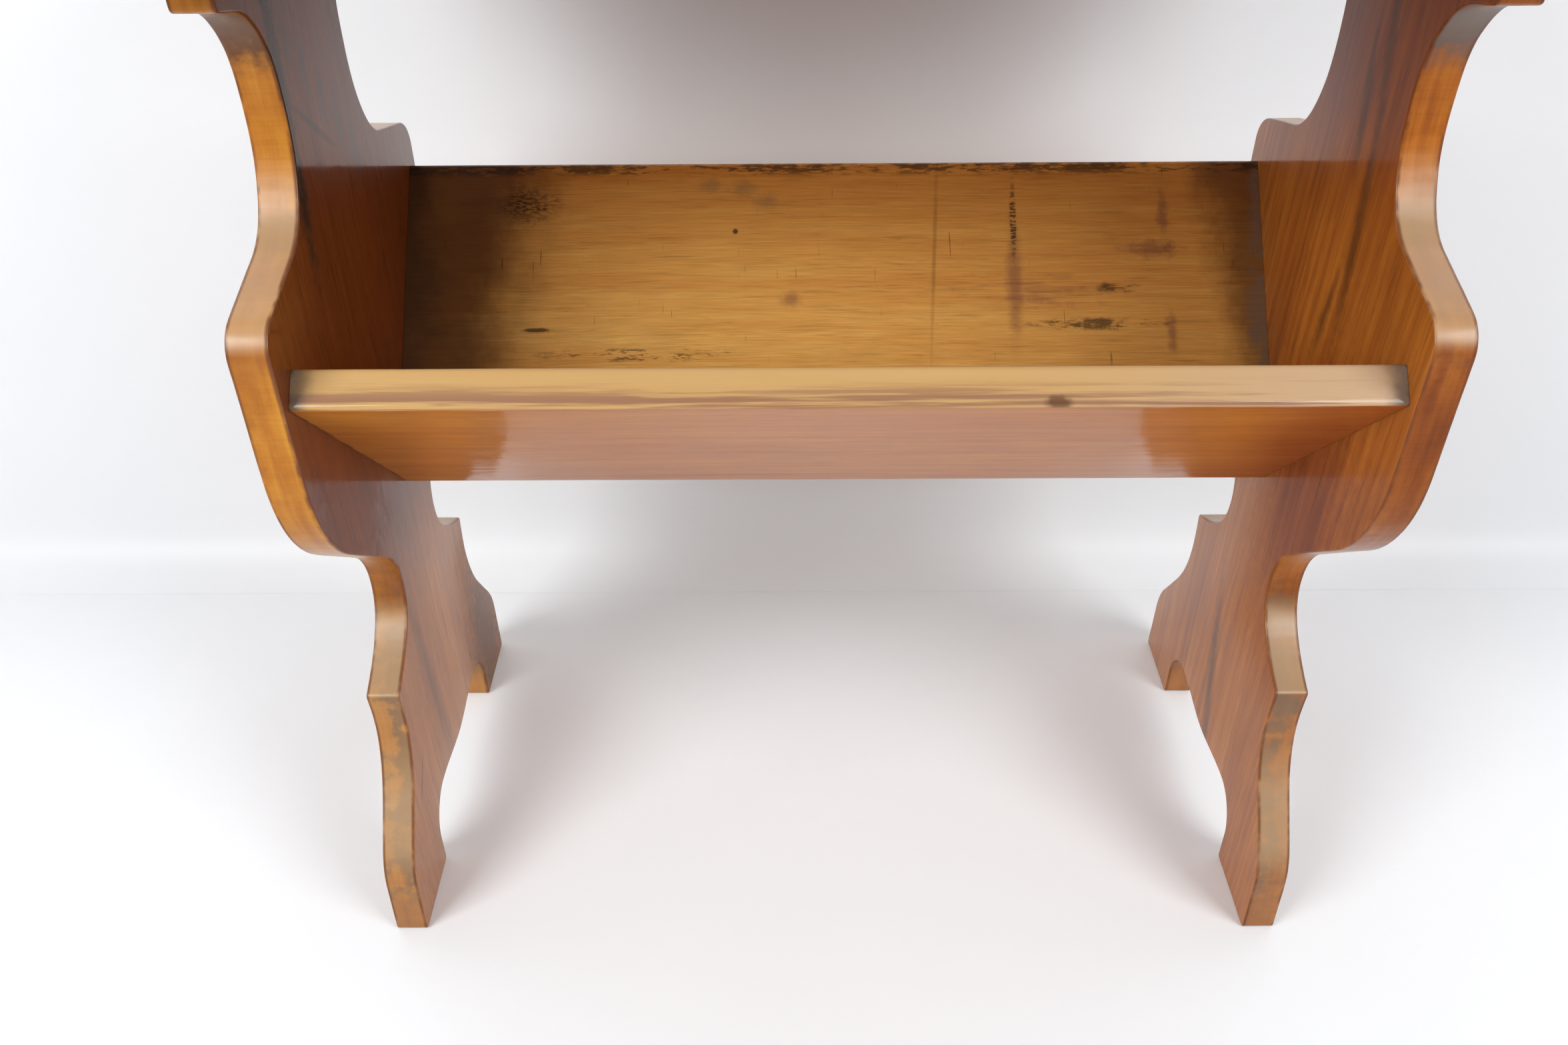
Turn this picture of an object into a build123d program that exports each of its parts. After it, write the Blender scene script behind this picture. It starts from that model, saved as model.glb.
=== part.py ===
from build123d import *
import os
from math import sqrt

# Side table with a V-shaped book trough between two scroll-sawn end panels.
# Millimetres.  X runs along the trough, -Y is the front, +Z is up.
# The origin is on the floor, midway between the end panels and midway front to back.

# ---------------------------------------------------------------- driving dimensions
board = 20.0            # dressed thickness of every board
clear_width = 520.0     # between the inner faces of the end panels
panel_height = 580.0    # floor to the underside of the top board
ease = 1.0              # radius sanded on every exposed long corner
corner_round = 1.6      # radius worn on the sawn outline's pointed corners

foot_half = 136.0       # half the depth over the feet
foot_inner = 78.0       # half the gap between the feet
foot_taper = 2.0        # how far the foot's outer side leans in before it rounds off
foot_side = 40.0        # height at which the foot's outer side starts to round off
foot_radius = 44.0      # round from the foot's outer side into the slope above it
foot_turn = 34.0        # degrees through which that round turns
foot_slope = 34.0       # length of the straight slope above the round
arch_height = 47.5      # highest line of the arch between the feet
arch_dip = 5.5          # how far the arch dips on the centre line
arch_corner = 26.0      # radius of the arch's upper corners

leg_half = 88.3         # half depth of the panel at the leg
leg_height = 135.0
leg_lean = 0.12         # how far the leg's edge leans out at the tip, per unit of height
tip_half = 90.0         # half depth at the pointed tip above the leg
tip_height = 162.0
tip_slope = 0.36        # rise of the cove's edge as it leaves the tip, per unit inwards
cove_half = 57.5        # a place on the cove between the tip and the waist
cove_height = 179.0
waist_half = 42.0       # narrowest place, between tip and belly
waist_height = 210.0
waist_radius = 40.0     # sweep from the waist out to the belly's underside

belly_half = 137.0      # half depth of the belly that holds the trough
belly_radius = 90.0     # round from the belly's underside to its upright side
belly_turn = 50.0       # degrees from upright at which the belly's underside leans out
shoulder_height = 414.5 # top of the belly's upright side
shoulder_radius = 18.0
shoulder_turn = 75.0    # degrees through which the shoulder turns inwards
shoulder_slope = 41.0   # length of the straight slope above the shoulder
neck_foot_half = 58.0   # a place where the neck comes up out of the slope
neck_foot_height = 465.0
neck_half = 50.5        # half depth at the upper neck
neck_height = 500.0

wing_half = 98.0        # half depth of the wing that carries the top board
wing_height = 557.0     # lowest corner of the wing's upright front
wing_slope = 0.26       # rise of the wing's underside at that corner, per unit outwards
wing_cove = ((55.5, 532.0), (67.0, 546.5))  # half depth and height at two places under the wing

trough_apex = 254.0     # height of the V's outer corner
trough_middle = 2.0     # how far the V sits behind the panels' middle line
front_width = 190.0     # the V's outer corner to the top edge, up the front board's outer face
back_width = 194.0      # and up the back board's

top_length = 640.0
top_depth = 300.0
top_corner = 18.0       # plan radius of the top board's corners
top_round = 5.0         # rounding along the top board's edges

cleat = 20.0            # square section of the cleats under the top board
cleat_length = 160.0

screw_shank = 4.0       # cleat screws
screw_head = 8.0
screw_length = 32.0
end_screw_shank = 5.0   # screws through the end panels into the trough boards
end_screw_head = 9.6
end_screw_length = 50.0
plug_diameter = 10.0    # wooden plugs over the end screws
plug_depth = 6.0
dowel_diameter = 6.0    # dowels along the V joint
dowel_length = 30.0
dowel_depth = 12.0      # dowel depth in the front board
dowel_chamfer = 0.6

cleat_side_rows = (-55.0, 0.0, 55.0)    # screws from cleat to end panel, along Y
cleat_top_rows = (-28.0, 28.0)          # screws from cleat to top board, along Y
front_screw_rows = (30.0, 96.0, 162.0)  # end screws up the front board from the outer corner
back_screw_rows = (46.0, 104.0, 162.0)  # and up the back board
dowel_rows = (-195.0, -65.0, 65.0, 195.0)

inner_face = clear_width / 2
outer_face = inner_face + board
near = 0.1              # edges this close to a place count as being at it


# ---------------------------------------------------------------- end panel outline
def turn(start, heading, radius, angle):
    """Arc from start along heading that turns by angle degrees, left when positive."""
    return JernArc(start=start, tangent=heading, radius=radius, arc_size=angle)


def half_outline():
    """Half of the panel's outline in the YZ plane, from the arch's middle round to the top's middle."""
    arch_edge = foot_inner - arch_corner
    dip = Spline((0, arch_height - arch_dip), (arch_edge, arch_height), tangents=((1, 0), (1, 0)))
    corner = turn((arch_edge, arch_height), (1, 0), arch_corner, -90)
    inside = Line(corner @ 1, (foot_inner, 0))
    sole = Line((foot_inner, 0), (foot_half, 0))
    side = Line((foot_half, 0), (foot_half - foot_taper, foot_side))

    foot_round = turn(side @ 1, side % 1, foot_radius, foot_turn)
    slope = Line(foot_round @ 1, foot_round @ 1 + (foot_round % 1) * foot_slope)
    leg = Spline(
        slope @ 1, (leg_half, leg_height), (tip_half, tip_height),
        tangents=(slope % 1, (leg_lean, 1)),
    )
    cove = Spline(
        (tip_half, tip_height), (cove_half, cove_height), (waist_half, waist_height),
        tangents=((-1, tip_slope), (0, 1)),
    )
    sweep = turn((waist_half, waist_height), (0, 1), waist_radius, -belly_turn)
    under_heading = sweep % 1
    belly_run = belly_half - belly_radius * (1 - under_heading.Y) - (sweep @ 1).X
    under = Line(sweep @ 1, sweep @ 1 + under_heading * (belly_run / under_heading.X))
    belly = turn(under @ 1, under_heading, belly_radius, belly_turn)

    upright = Line(belly @ 1, (belly_half, shoulder_height))
    shoulder = turn((belly_half, shoulder_height), (0, 1), shoulder_radius, shoulder_turn)
    inwards = Line(shoulder @ 1, shoulder @ 1 + (shoulder % 1) * shoulder_slope)
    neck = Spline(
        inwards @ 1, (neck_foot_half, neck_foot_height), (neck_half, neck_height),
        tangents=(inwards % 1, (0, 1)),
    )
    wing_under = Spline(
        (neck_half, neck_height), *wing_cove, (wing_half, wing_height),
        tangents=((0, 1), (1, wing_slope)),
    )
    wing_front = Line((wing_half, wing_height), (wing_half, panel_height))
    top = Line((wing_half, panel_height), (0, panel_height))
    return [
        dip, corner, inside, sole, side, foot_round, slope, leg, cove, sweep, under, belly,
        upright, shoulder, inwards, neck, wing_under, wing_front, top,
    ]


def panel_blank():
    """One end panel, its inner face on the YZ plane and its thickness towards +X."""
    half = half_outline()
    whole = half + [mirror(edge, Plane.YZ) for edge in half]
    outline = Plane.YZ * make_face(Wire.combine(whole)[0].edges())
    return extrude(outline, board)


def is_pointed(edge):
    """True for an edge across the panel's thickness at one of the outline's pointed corners."""
    points = [(tip_half, tip_height), (wing_half, wing_height), (foot_half, 0), (foot_inner, 0)]
    place = edge.center()
    return any(abs(abs(place.Y) - y) < near and abs(place.Z - z) < near for y, z in points)


def eased(panel):
    """The panel with its pointed corners and sawn rims rounded, but not where the top board sits."""
    panel = fillet([edge for edge in panel.edges().filter_by(Axis.X) if is_pointed(edge)], corner_round)
    sides = panel.faces().sort_by(Axis.X)
    rims = sides[0].edges() + sides[-1].edges()
    return fillet([edge for edge in rims if edge.center().Z < panel_height - near], ease)


# ---------------------------------------------------------------- fasteners
def wood_screw(length, shank, head):
    """Countersunk wood screw along +Z, its head's flat at z = 0."""
    head_depth = (head - shank) / 2
    point = shank
    profile = Polyline(
        (0, 0), (head / 2, 0), (shank / 2, head_depth), (shank / 2, length - point), (0, length), (0, 0)
    )
    return revolve(Plane.XZ * make_face(profile), Axis.Z)


def trough_point(along, off, side):
    """(y, z) at a distance up the board's outer face and a depth in from it; side is -1 front, +1 back."""
    y = trough_middle + side * (along - off) / sqrt(2)
    z = trough_apex + (along + off) / sqrt(2)
    return y, z


def end_screw_spots():
    """(y, z) of each screw through an end panel into the end of a trough board."""
    spots = [trough_point(along, board / 2, -1) for along in front_screw_rows]
    spots += [trough_point(along, board / 2, 1) for along in back_screw_rows]
    return spots


def on_both_ends(make_right):
    """The solids that make_right returns for the right-hand end, and their mirror images on the left."""
    right = make_right()
    return right + [mirror(solid, Plane.YZ) for solid in right]


def end_screws_right():
    """Screws that run from under the plugs, through the right panel, into the trough boards."""
    screw = Rot(0, -90, 0) * wood_screw(end_screw_length, end_screw_shank, end_screw_head)
    return [Pos(outer_face - plug_depth, y, z) * screw for y, z in end_screw_spots()]


def plugs_right():
    """Wooden plugs that close the screw holes flush with the right panel's outer face."""
    plug = Rot(0, -90, 0) * extrude(Circle(plug_diameter / 2), plug_depth)
    return [Pos(outer_face, y, z) * plug for y, z in end_screw_spots()]


def cleat_screws_right():
    """Screws through the right cleat, sideways into the panel and upwards into the top board."""
    screw = wood_screw(screw_length, screw_shank, screw_head)
    middle = panel_height - cleat / 2
    sideways = [Pos(inner_face - cleat, y, middle) * Rot(0, 90, 0) * screw for y in cleat_side_rows]
    upwards = [Pos(inner_face - cleat / 2, y, panel_height - cleat) * screw for y in cleat_top_rows]
    return sideways + upwards


def trough_dowels():
    """Dowels across the V joint, square to the front board's inner face."""
    y, z = trough_point(board / 2, board - dowel_depth, -1)
    peg = extrude(Circle(dowel_diameter / 2), dowel_length)
    peg = chamfer(peg.edges().filter_by(GeomType.CIRCLE), dowel_chamfer)
    return [Pos(x, y, z) * Rot(-45, 0, 0) * peg for x in dowel_rows]


# ---------------------------------------------------------------- boards
def trough_board(start, end, side):
    """A trough board of the V between two distances up its outer face, eased along its top edge."""
    corners = [
        trough_point(start, 0, side),
        trough_point(end, 0, side),
        trough_point(end, board, side),
        trough_point(start, board, side),
    ]
    outline = Plane.YZ * make_face(Polyline(*corners, close=True))
    solid = extrude(outline, clear_width / 2, both=True)
    top_edge = corners[1][1] - near
    long_edges = solid.edges().filter_by(Axis.X)
    return fillet([edge for edge in long_edges if edge.center().Z > top_edge], ease)


def back_board():
    """The back trough board, its outer top corner planed flush with the panels' back edges."""
    whole = trough_board(board, back_width, 1)
    behind = Pos(0, belly_half + board / 2, shoulder_height) * Box(clear_width, board, panel_height)
    return whole - behind


def top_board():
    """The flat top: round-cornered in plan and rounded along its edges."""
    slab = extrude(RectangleRounded(top_length, top_depth, top_corner), board)
    slab = Pos(0, 0, panel_height) * slab
    rims = slab.faces().sort_by(Axis.Z)[-1].edges() + slab.faces().sort_by(Axis.Z)[0].edges()
    return fillet(rims, top_round)


def cleat_right():
    """Square cleat inside the right panel, tight under the top board."""
    stick = Box(cleat, cleat_length, cleat)
    lower = stick.edges().filter_by(Axis.Y).sort_by(Axis.Z)[:2].sort_by(Axis.X)[0]
    stick = chamfer(lower, ease)
    return Pos(inner_face - cleat / 2, 0, panel_height - cleat / 2) * stick


# ---------------------------------------------------------------- assembly
end_screws = on_both_ends(end_screws_right)
plugs = on_both_ends(plugs_right)
cleat_screws = on_both_ends(cleat_screws_right)
dowels = trough_dowels()


def bored(solid, *groups):
    """The solid with the room for each fastener cut out of it."""
    tools = [tool for group in groups for tool in group]
    return solid - tools


panel_right = Pos(inner_face, 0, 0) * eased(panel_blank())
panel_left = mirror(panel_right, Plane.YZ)
cleat_left = mirror(cleat_right(), Plane.YZ)

nodes = {
    "end_panel_left": bored(panel_left, end_screws, plugs, cleat_screws),
    "end_panel_right": bored(panel_right, end_screws, plugs, cleat_screws),
    "trough_front_board": bored(trough_board(0.0, front_width, -1), end_screws, dowels),
    "trough_back_board": bored(back_board(), end_screws, dowels),
    "top_board": bored(top_board(), cleat_screws),
    "top_cleat_left": bored(cleat_left, cleat_screws),
    "top_cleat_right": bored(cleat_right(), cleat_screws),
    "cleat_screws": Compound(children=cleat_screws),
    "trough_end_screws": Compound(children=end_screws),
    "screw_plugs": Compound(children=plugs),
    "trough_dowels": Compound(children=dowels),
}

os.makedirs("parts", exist_ok=True)
for name, shape in nodes.items():
    export_step(shape, f"parts/{name}.step")
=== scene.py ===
from math import cos, pi, radians, sin, sqrt

import bmesh
import bpy
from mathutils import Euler, Matrix, Vector, noise


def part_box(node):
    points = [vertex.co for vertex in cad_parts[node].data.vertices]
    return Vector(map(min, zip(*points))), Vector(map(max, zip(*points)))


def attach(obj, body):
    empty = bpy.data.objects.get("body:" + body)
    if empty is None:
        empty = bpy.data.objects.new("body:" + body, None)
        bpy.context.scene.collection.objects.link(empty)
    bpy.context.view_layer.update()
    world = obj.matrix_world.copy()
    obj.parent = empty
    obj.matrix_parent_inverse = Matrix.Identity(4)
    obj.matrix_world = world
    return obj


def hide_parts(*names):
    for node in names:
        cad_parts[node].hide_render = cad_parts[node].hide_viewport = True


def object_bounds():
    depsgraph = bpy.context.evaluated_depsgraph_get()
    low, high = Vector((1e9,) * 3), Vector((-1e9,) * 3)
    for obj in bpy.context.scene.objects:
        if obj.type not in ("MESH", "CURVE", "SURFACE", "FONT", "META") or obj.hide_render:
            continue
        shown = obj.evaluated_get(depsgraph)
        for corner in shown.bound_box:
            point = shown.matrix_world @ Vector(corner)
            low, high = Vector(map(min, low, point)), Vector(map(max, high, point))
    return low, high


# Side table with a book trough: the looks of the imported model.  Metres, +Z up, -Y the front.

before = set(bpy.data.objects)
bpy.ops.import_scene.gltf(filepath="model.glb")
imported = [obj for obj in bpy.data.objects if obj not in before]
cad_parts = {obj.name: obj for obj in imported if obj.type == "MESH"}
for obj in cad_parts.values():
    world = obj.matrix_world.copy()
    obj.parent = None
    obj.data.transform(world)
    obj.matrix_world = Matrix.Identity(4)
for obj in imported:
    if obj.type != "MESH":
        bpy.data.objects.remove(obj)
cad_low, cad_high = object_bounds()
mm = 0.001

panel_low, panel_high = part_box("end_panel_right")
inner_face = panel_low.x            # the end panels' faces, measured from the middle
outer_face = panel_high.x
board = outer_face - inner_face
panel_top = panel_high.z
back_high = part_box("trough_back_board")[1]
front_low, front_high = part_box("trough_front_board")
diagonal = sqrt(2)                  # the trough boards stand at 45 degrees

step = 1.2 * mm                     # spacing of points round a piece's outline
split_gap = 0.002 * mm              # corners closer than this are one corner
rim_steps = 4                       # facets across a rounded rim
wear_rate = 23                      # changes per metre: of the wear along a rim,
ripple_rate = 31                    # of the sawn edge's unevenness,
fine_ripple_rate = 140              # and of the finer unevenness on top of it
fine_ripple = 0.4


# ---------------------------------------------------------------- shapes
def clean_mesh(node):
    """A bmesh of a CAD node with its split corners joined up again."""
    mesh = bmesh.new()
    mesh.from_mesh(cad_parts[node].data)
    bmesh.ops.remove_doubles(mesh, verts=mesh.verts, dist=split_gap)
    return mesh


def rank(point):
    """Sorts points the same way in every run, whatever order the mesh tools gave them in."""
    decimals = 6
    return round(point.z, decimals), round(point.y, decimals), round(point.x, decimals)


def in_order(points):
    """The same loop, always starting at its lowest point and always going the same way round."""
    start = min(range(len(points)), key=lambda i: rank(points[i]))
    points = points[start:] + points[:start]
    if rank(points[1]) > rank(points[-1]):
        points = points[:1] + points[:0:-1]
    return points


def loops_of(edges):
    """The closed loops of points that some cut edges make."""
    left = list(edges)
    loops = []
    while left:
        first, last = left.pop().verts
        points = [first.co.copy(), last.co.copy()]
        while last is not first:
            following = [e for e in last.link_edges if e in left]
            if not following:
                break
            left.remove(following[0])
            last = following[0].other_vert(last)
            points.append(last.co.copy())
        loops.append(in_order(points[:-1]))
    return loops


def length_of(points):
    """The way round a closed loop."""
    return sum((b - a).length for a, b in zip(points, points[1:] + points[:1]))


def outline(node, place, normal):
    """The outer loop of a CAD node where a plane cuts it."""
    mesh = clean_mesh(node)
    everything = mesh.verts[:] + mesh.edges[:] + mesh.faces[:]
    cut = bmesh.ops.bisect_plane(mesh, geom=everything, plane_co=place, plane_no=normal)
    edges = [e for e in cut["geom_cut"] if isinstance(e, bmesh.types.BMEdge)]
    longest = max(loops_of(edges), key=length_of)
    mesh.free()
    return longest


def resampled(points, spacing, smoothing):
    """Points at even spacing round a closed loop, with the facets between them smoothed away."""
    count = round(length_of(points) / spacing)
    gap = length_of(points) / count
    even = []
    travelled = 0.0
    for a, b in zip(points, points[1:] + points[:1]):
        span = (b - a).length
        while len(even) < count and len(even) * gap <= travelled + span:
            even.append(a.lerp(b, (len(even) * gap - travelled) / span))
        travelled += span
    for _ in range(smoothing):
        even = [
            even[i] * 0.5 + (even[i - 1] + even[(i + 1) % count]) * 0.25
            for i in range(count)
        ]
    return even


def outward_normals(points, axis):
    """Unit normals in the loop's plane, pointing out of the loop."""
    count = len(points)
    sideways = [
        (points[(i + 1) % count] - points[i - 1]).cross(axis).normalized()
        for i in range(count)
    ]
    centre = sum(points, Vector()) / count
    facing = sum((p - centre).dot(n) for p, n in zip(points, sideways))
    return [n if facing > 0 else -n for n in sideways]


def arris_profile(length, radius, corner_steps, middle_steps):
    """(distance along, inset) pairs across a piece whose two rims are rounded by a radius."""
    corner = [
        (radius * (1 - cos(a)), radius * (1 - sin(a)))
        for a in (pi / 2 * k / corner_steps for k in range(corner_steps + 1))
    ]
    middle = [(length * k / middle_steps, 0.0) for k in range(1, middle_steps)]
    far = [(length - along, inset) for along, inset in reversed(corner)]
    return corner + middle + far


def loft(name, loop, axis, start, end, radius, unevenness=0.0, wear=0.0, middle_steps=4):
    """A solid from a planar loop carried along an axis, its rims rounded and worn a little unevenly."""
    axis = Vector(axis)
    flat = [p - axis * p.dot(axis) for p in loop]
    normals = outward_normals(flat, axis)
    mesh = bmesh.new()
    rings = []
    for along, inset in arris_profile(end - start, radius, rim_steps, middle_steps):
        ring = []
        for p, n in zip(flat, normals):
            place = p + axis * (start + along)
            worn = 1 + wear * noise.noise(place * wear_rate)
            broad = unevenness * noise.noise(place * ripple_rate)
            fine = unevenness * fine_ripple * noise.noise(place * fine_ripple_rate)
            ring.append(mesh.verts.new(place + n * (broad + fine - inset * worn)))
        rings.append(ring)
    count = len(flat)
    for near_ring, far_ring in zip(rings, rings[1:]):
        for i in range(count):
            j = (i + 1) % count
            mesh.faces.new((near_ring[i], near_ring[j], far_ring[j], far_ring[i]))
    mesh.faces.new(rings[0])
    mesh.faces.new(rings[-1])
    bmesh.ops.recalc_face_normals(mesh, faces=mesh.faces)
    data = bpy.data.meshes.new(name)
    mesh.to_mesh(data)
    mesh.free()
    piece = bpy.data.objects.new(name, data)
    bpy.context.scene.collection.objects.link(piece)
    return piece


def fasteners_tool(nodes):
    """One closed mesh of several fastener nodes, to cut their room out of a board."""
    tool = bmesh.new()
    for node in nodes:
        part = clean_mesh(node)
        copy = bpy.data.meshes.new("part_of_tool")
        part.to_mesh(copy)
        part.free()
        tool.from_mesh(copy)
        bpy.data.meshes.remove(copy)
    data = bpy.data.meshes.new("tool")
    tool.to_mesh(data)
    tool.free()
    cutter = bpy.data.objects.new("tool", data)
    bpy.context.scene.collection.objects.link(cutter)
    return cutter


def solid_volume(data):
    """The volume a mesh encloses, or nothing when there is a gap in it."""
    mesh = bmesh.new()
    mesh.from_mesh(data)
    closed = all(len(edge.link_faces) == 2 for edge in mesh.edges)
    volume = mesh.calc_volume() if closed else 0.0
    mesh.free()
    return volume


def bored(piece, nodes):
    """Cuts the room for these fasteners out of a piece, and stops the script if that damages it."""
    cutter = fasteners_tool(nodes)
    cut = piece.modifiers.new("room", "BOOLEAN")
    cut.operation = "DIFFERENCE"
    cut.solver = "MANIFOLD"
    cut.object = cutter
    bpy.context.view_layer.update()
    evaluated = piece.evaluated_get(bpy.context.evaluated_depsgraph_get())
    data = bpy.data.meshes.new_from_object(evaluated)
    least = solid_volume(piece.data) - solid_volume(cutter.data)
    if solid_volume(data) < least:
        raise RuntimeError(f"boring damaged {piece.name}")
    piece.modifiers.clear()
    piece.data = data
    bpy.data.objects.remove(cutter)
    return piece


def shaded(piece, sharp_degrees=40.0):
    """Smooth shading that keeps hard edges hard and flat faces flat."""
    mesh = bmesh.new()
    mesh.from_mesh(piece.data)
    for face in mesh.faces:
        face.smooth = True
    for edge in mesh.edges:
        edge.smooth = len(edge.link_faces) == 2 and edge.calc_face_angle(0.0) < radians(sharp_degrees)
    mesh.to_mesh(piece.data)
    mesh.free()
    weighted = piece.modifiers.new("flat_faces", "WEIGHTED_NORMAL")
    weighted.keep_sharp = True
    weighted.weight = 80
    return piece


def shown(piece, node, material):
    """Puts a finished piece in the place of its CAD node."""
    piece.data.materials.clear()
    piece.data.materials.append(material)
    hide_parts(node)
    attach(piece, "root")
    return piece


# ---------------------------------------------------------------- shader graphs
class Graph:
    """Short calls for adding and joining the nodes of one material."""

    def __init__(self, name):
        self.material = bpy.data.materials.new(name)
        self.material.use_nodes = True
        self.tree = self.material.node_tree
        self.tree.nodes.clear()

    def add(self, kind, **settings):
        """A new node with its settings."""
        node = self.tree.nodes.new(kind)
        for key, value in settings.items():
            setattr(node, key, value)
        return node

    def feed(self, socket, value):
        """Joins a socket to another node's output, or sets its plain value."""
        if isinstance(value, bpy.types.NodeSocket):
            self.tree.links.new(value, socket)
        elif hasattr(value, "__len__") and len(value) == 3 and socket.type == "RGBA":
            socket.default_value = (*value, 1.0)
        else:
            socket.default_value = value

    def math(self, operation, a, b=0.0, c=0.0, clamp=False):
        """One sum of numbers or outputs."""
        node = self.add("ShaderNodeMath", operation=operation, use_clamp=clamp)
        for socket, value in zip(node.inputs, (a, b, c)):
            self.feed(socket, value)
        return node.outputs[0]

    def vector(self, operation, a, b=(0, 0, 0)):
        """One sum of vectors."""
        node = self.add("ShaderNodeVectorMath", operation=operation)
        self.feed(node.inputs[0], a)
        self.feed(node.inputs[1], b)
        return node.outputs["Value" if operation in ("DOT_PRODUCT", "LENGTH") else "Vector"]

    def combine(self, x, y, z):
        """A vector from its three parts."""
        node = self.add("ShaderNodeCombineXYZ")
        for socket, value in zip(node.inputs, (x, y, z)):
            self.feed(socket, value)
        return node.outputs[0]

    def separate(self, vector):
        """A vector's three parts."""
        node = self.add("ShaderNodeSeparateXYZ")
        self.feed(node.inputs[0], vector)
        return node.outputs[0], node.outputs[1], node.outputs[2]

    def noise(self, vector, detail=2.0, roughness=0.5, distortion=0.0):
        """Noise that changes over about one unit of its vector."""
        node = self.add("ShaderNodeTexNoise")
        self.feed(node.inputs["Vector"], vector)
        self.feed(node.inputs["Scale"], 1.0)
        self.feed(node.inputs["Detail"], detail)
        self.feed(node.inputs["Roughness"], roughness)
        self.feed(node.inputs["Distortion"], distortion)
        return node.outputs["Fac"]

    def between(self, value, low, high, to_low=0.0, to_high=1.0):
        """Eases from to_low to to_high as the value goes from low to high."""
        node = self.add("ShaderNodeMapRange", interpolation_type="SMOOTHSTEP")
        for socket, setting in zip(node.inputs, (value, low, high, to_low, to_high)):
            self.feed(socket, setting)
        return node.outputs[0]

    def mix(self, factor, a, b, blend="MIX"):
        """Colour a blended towards colour b."""
        node = self.add("ShaderNodeMix", data_type="RGBA", blend_type=blend)
        self.feed(node.inputs["Factor"], factor)
        self.feed(node.inputs["A"], a)
        self.feed(node.inputs["B"], b)
        return node.outputs["Result"]

    def ramp(self, factor, *stops):
        """Colour from (place, colour) stops."""
        node = self.add("ShaderNodeValToRGB")
        ramp = node.color_ramp
        while len(ramp.elements) < len(stops):
            ramp.elements.new(0.5)
        for element, (place, colour) in zip(ramp.elements, stops):
            element.position = place
            element.color = (*colour, 1.0)
        self.feed(node.inputs[0], factor)
        return node.outputs["Color"]

    def bump(self, height, strength, distance):
        """A normal that follows a height."""
        node = self.add("ShaderNodeBump")
        self.feed(node.inputs["Height"], height)
        self.feed(node.inputs["Strength"], strength)
        self.feed(node.inputs["Distance"], distance)
        return node.outputs[0]

    def position(self):
        """Where on the object, in metres."""
        return self.add("ShaderNodeTexCoord").outputs["Object"]

    def finish(self, **inputs):
        """The surface itself, with the Principled shader's inputs by name."""
        shader = self.add("ShaderNodeBsdfPrincipled")
        for key, value in inputs.items():
            self.feed(shader.inputs[key.replace("_", " ")], value)
        output = self.add("ShaderNodeOutputMaterial")
        self.tree.links.new(shader.outputs[0], output.inputs["Surface"])
        return self.material


# ---------------------------------------------------------------- varnished timber
umber = (0.082, 0.028, 0.010)
soot = (0.016, 0.011, 0.009)
slate = (0.13, 0.105, 0.09)
plum = (0.16, 0.055, 0.040)
pale_plum = (0.22, 0.085, 0.065)
bloom_grey = (0.045, 0.040, 0.032)
blot_brown = (0.15, 0.09, 0.045)
rim_brown = (0.14, 0.040, 0.010)
leg_grime = (0.085, 0.060, 0.045)
leg_tan = (0.34, 0.205, 0.115)
highlight_tan = (0.58, 0.37, 0.19)
dusty_pink = (0.49, 0.325, 0.215)

# The light, middle and dark tone of each kind of timber.
left_face = ((0.56, 0.20, 0.034), (0.42, 0.140, 0.022), (0.26, 0.075, 0.012))
left_edge = ((0.56, 0.230, 0.026), (0.44, 0.150, 0.013), (0.30, 0.088, 0.009))
right_face = ((0.62, 0.23, 0.032), (0.46, 0.145, 0.019), (0.24, 0.060, 0.010))
right_edge = ((0.50, 0.165, 0.017), (0.36, 0.100, 0.010), (0.22, 0.055, 0.007))
back_board = ((0.70, 0.410, 0.110), (0.62, 0.318, 0.075), (0.53, 0.220, 0.046))
front_board = ((0.66, 0.245, 0.022), (0.57, 0.175, 0.011), (0.42, 0.110, 0.006))
top_tones = ((0.56, 0.25, 0.065), (0.42, 0.15, 0.034), (0.24, 0.07, 0.016))
cleat_tones = ((0.54, 0.26, 0.075), (0.42, 0.16, 0.040), (0.26, 0.085, 0.020))
plug_tones = ((0.40, 0.15, 0.035), (0.26, 0.085, 0.020), (0.12, 0.035, 0.010))
dowel_tones = ((0.72, 0.50, 0.30), (0.62, 0.40, 0.22), (0.48, 0.28, 0.14))


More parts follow.
